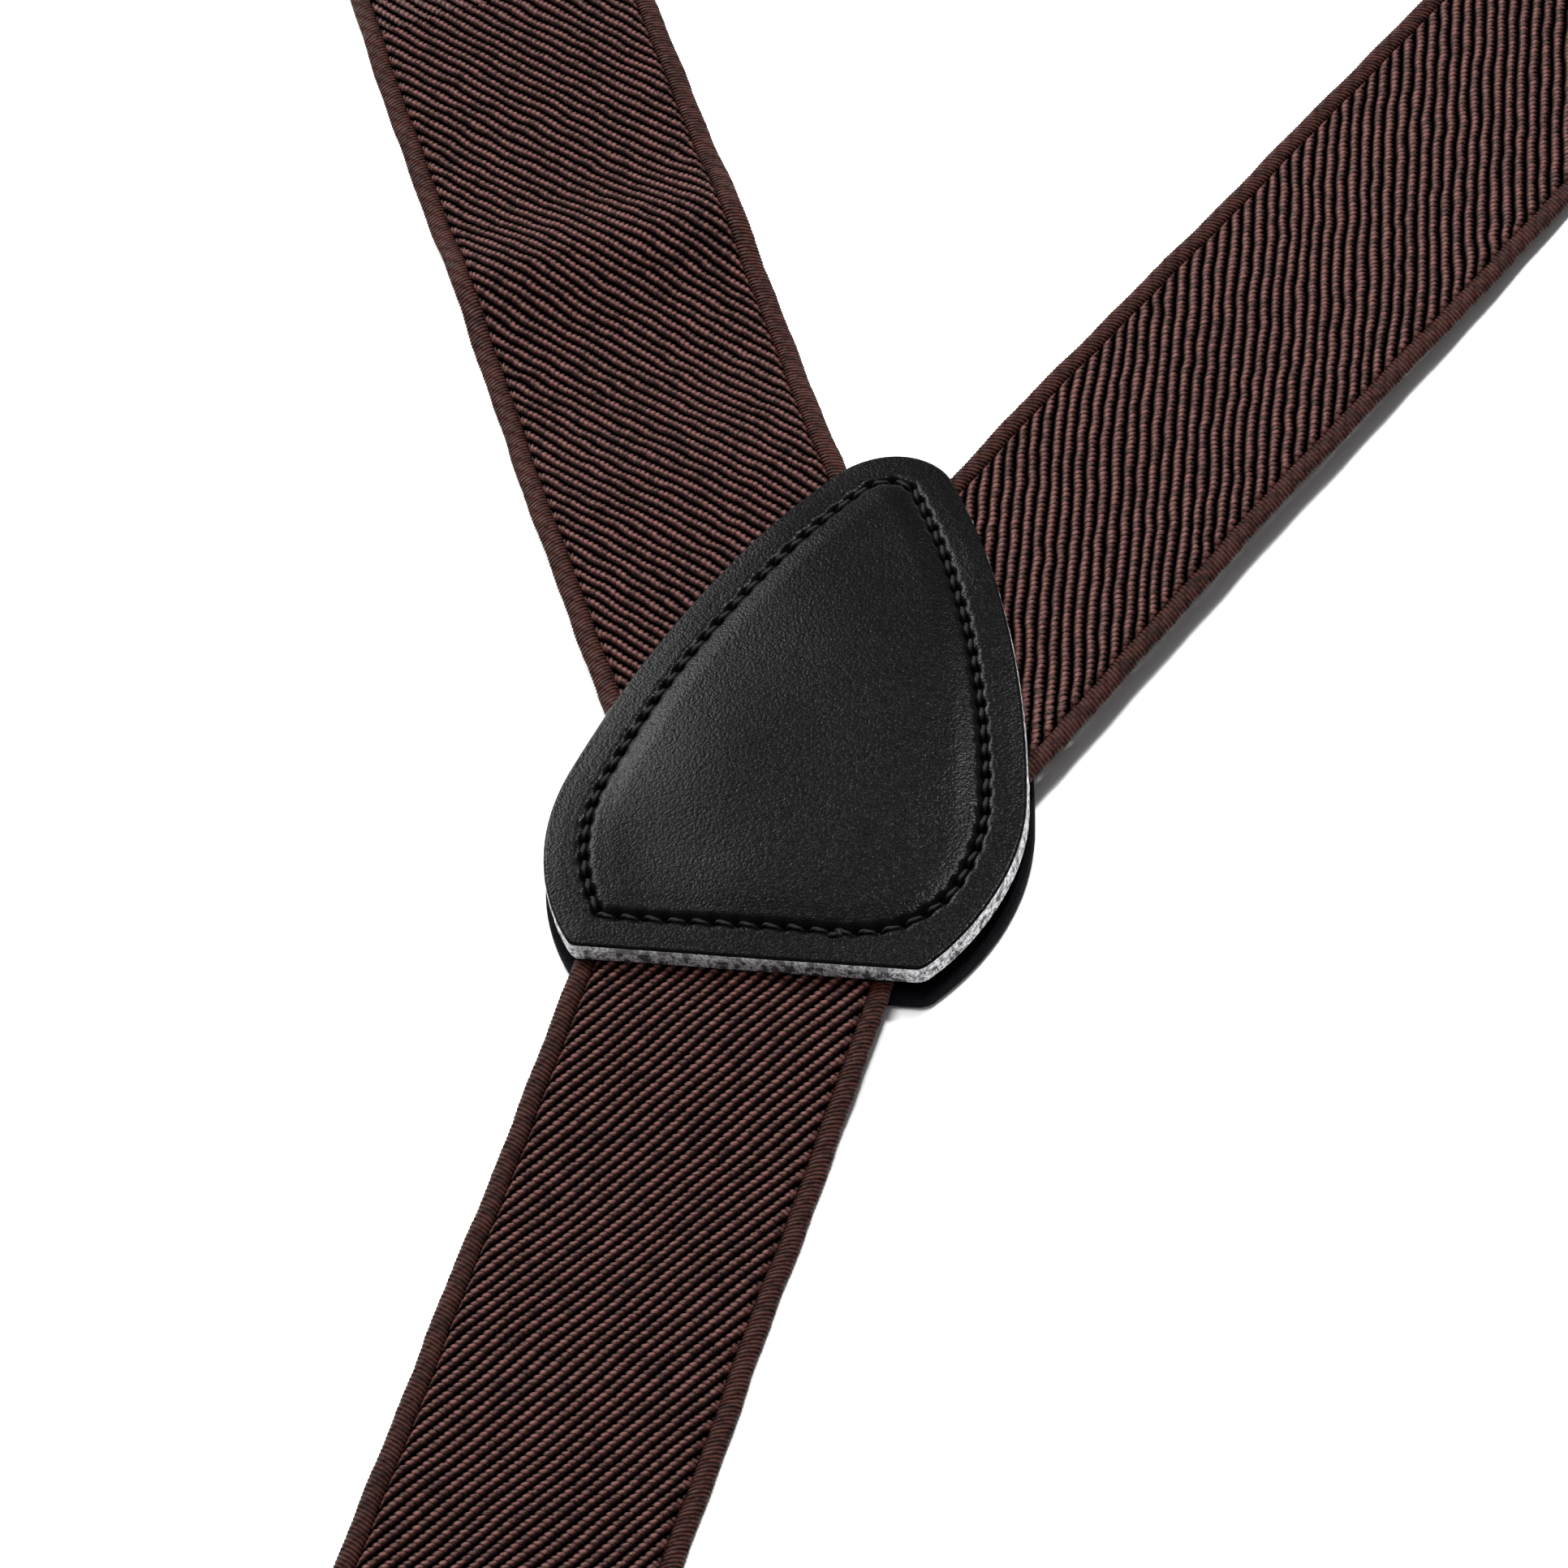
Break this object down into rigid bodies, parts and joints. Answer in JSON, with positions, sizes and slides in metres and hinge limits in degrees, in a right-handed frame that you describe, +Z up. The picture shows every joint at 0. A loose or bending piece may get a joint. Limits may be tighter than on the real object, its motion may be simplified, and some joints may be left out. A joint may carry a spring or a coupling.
{
  "type": "suspenders",
  "caption": "Y-back suspenders: elastic brown straps sewn into a black leather yoke, with toothed adjusters and flip-lever waistband clips.",
  "frame": {"origin": "middle of the yoke's underside, on the surface that the suspenders lie on", "axes": "+Y up the yoke's axis to the shoulder straps, +X to the right seen from the front face, +Z up out of the front face"},
  "size_m": [0.7219, 1.0094, 0.0112],
  "materials": {
    "webbing": "woven twill elastic, dark brown",
    "leather": "fine-grained, semi-matt black",
    "thread": "waxed black thread",
    "nickel": "nickel-plated sheet steel",
    "plastic": "moulded black"
  },
  "bodies": {
    "yoke": {"yoke_front_leather": "leather", "yoke_back_leather": "leather", "yoke_stitching": "thread", "left_strap": "webbing", "right_strap": "webbing", "back_strap": "webbing"},
    "left_adjuster": {"left_adjuster_frame": "nickel", "left_adjuster_pin": "nickel", "left_strap_tail": "webbing", "left_tail_stitching": "thread"},
    "left_adjuster_lever": {"left_adjuster_lever": "nickel"},
    "left_clip": {"left_clip_base": "nickel", "left_clip_pin": "nickel", "left_clip_liner": "plastic", "left_strap_loop": "webbing"},
    "left_clip_lever": {"left_clip_lever": "nickel", "left_clip_grip": "plastic"},
    "right_adjuster": {"right_adjuster_frame": "nickel", "right_adjuster_pin": "nickel", "right_strap_tail": "webbing", "right_tail_stitching": "thread"},
    "right_adjuster_lever": {"right_adjuster_lever": "nickel"},
    "right_clip": {"right_clip_base": "nickel", "right_clip_pin": "nickel", "right_clip_liner": "plastic", "right_strap_loop": "webbing"},
    "right_clip_lever": {"right_clip_lever": "nickel", "right_clip_grip": "plastic"},
    "back_clip": {"back_clip_base": "nickel", "back_clip_pin": "nickel", "back_clip_liner": "plastic", "back_strap_tail": "webbing", "back_tail_stitching": "thread"},
    "back_clip_lever": {"back_clip_lever": "nickel", "back_clip_grip": "plastic"}
  },
  "joints": [
    {"name": "left_adjuster_slide", "type": "slide", "parent": "yoke", "child": "left_adjuster", "axis": [-0.4695, 0.8829, 0], "range_m": [-0.15, 0.15], "deforming": ["left_strap"]},
    {"name": "left_clip_slide", "type": "slide", "parent": "left_adjuster", "child": "left_clip", "axis": [-0.4695, 0.8829, 0], "range_m": [-0.075, 0.075], "deforming": ["left_strap_loop"]},
    {"name": "left_adjuster_lever_hinge", "type": "hinge", "parent": "left_adjuster", "child": "left_adjuster_lever", "pos_m": [-0.26991, 0.49578, 0.008], "axis": [0.8829, 0.4695, 0], "range_deg": [0, 90]},
    {"name": "left_clip_lever_hinge", "type": "hinge", "parent": "left_clip", "child": "left_clip_lever", "pos_m": [-0.36216, 0.66927, 0.0082], "axis": [-0.8829, -0.4695, 0], "range_deg": [0, 100]},
    {"name": "right_adjuster_slide", "type": "slide", "parent": "yoke", "child": "right_adjuster", "axis": [0.4067, 0.9135, 0], "range_m": [-0.15, 0.15], "deforming": ["right_strap"]},
    {"name": "right_clip_slide", "type": "slide", "parent": "right_adjuster", "child": "right_clip", "axis": [0.4067, 0.9135, 0], "range_m": [-0.075, 0.075], "deforming": ["right_strap_loop"]},
    {"name": "right_adjuster_lever_hinge", "type": "hinge", "parent": "right_adjuster", "child": "right_adjuster_lever", "pos_m": [0.23798, 0.51296, 0.008], "axis": [0.9135, -0.4067, 0], "range_deg": [0, 90]},
    {"name": "right_clip_lever_hinge", "type": "hinge", "parent": "right_clip", "child": "right_clip_lever", "pos_m": [0.31791, 0.69247, 0.0082], "axis": [-0.9135, 0.4067, 0], "range_deg": [0, 100]},
    {"name": "back_strap_stretch", "type": "slide", "parent": "yoke", "child": "back_clip", "axis": [-0.061, -0.9981, 0], "range_m": [0, 0.08], "stiffness_N_per_m": 150, "deforming": ["back_strap"]},
    {"name": "back_clip_lever_hinge", "type": "hinge", "parent": "back_clip", "child": "back_clip_lever", "pos_m": [-0.01708, -0.28746, 0.0082], "axis": [0.9981, -0.061, 0], "range_deg": [0, 100]}
  ],
  "couplings": [
    {"joint": "left_clip_slide", "follows": "left_adjuster_slide", "ratio": -0.5},
    {"joint": "right_clip_slide", "follows": "right_adjuster_slide", "ratio": -0.5}
  ]
}
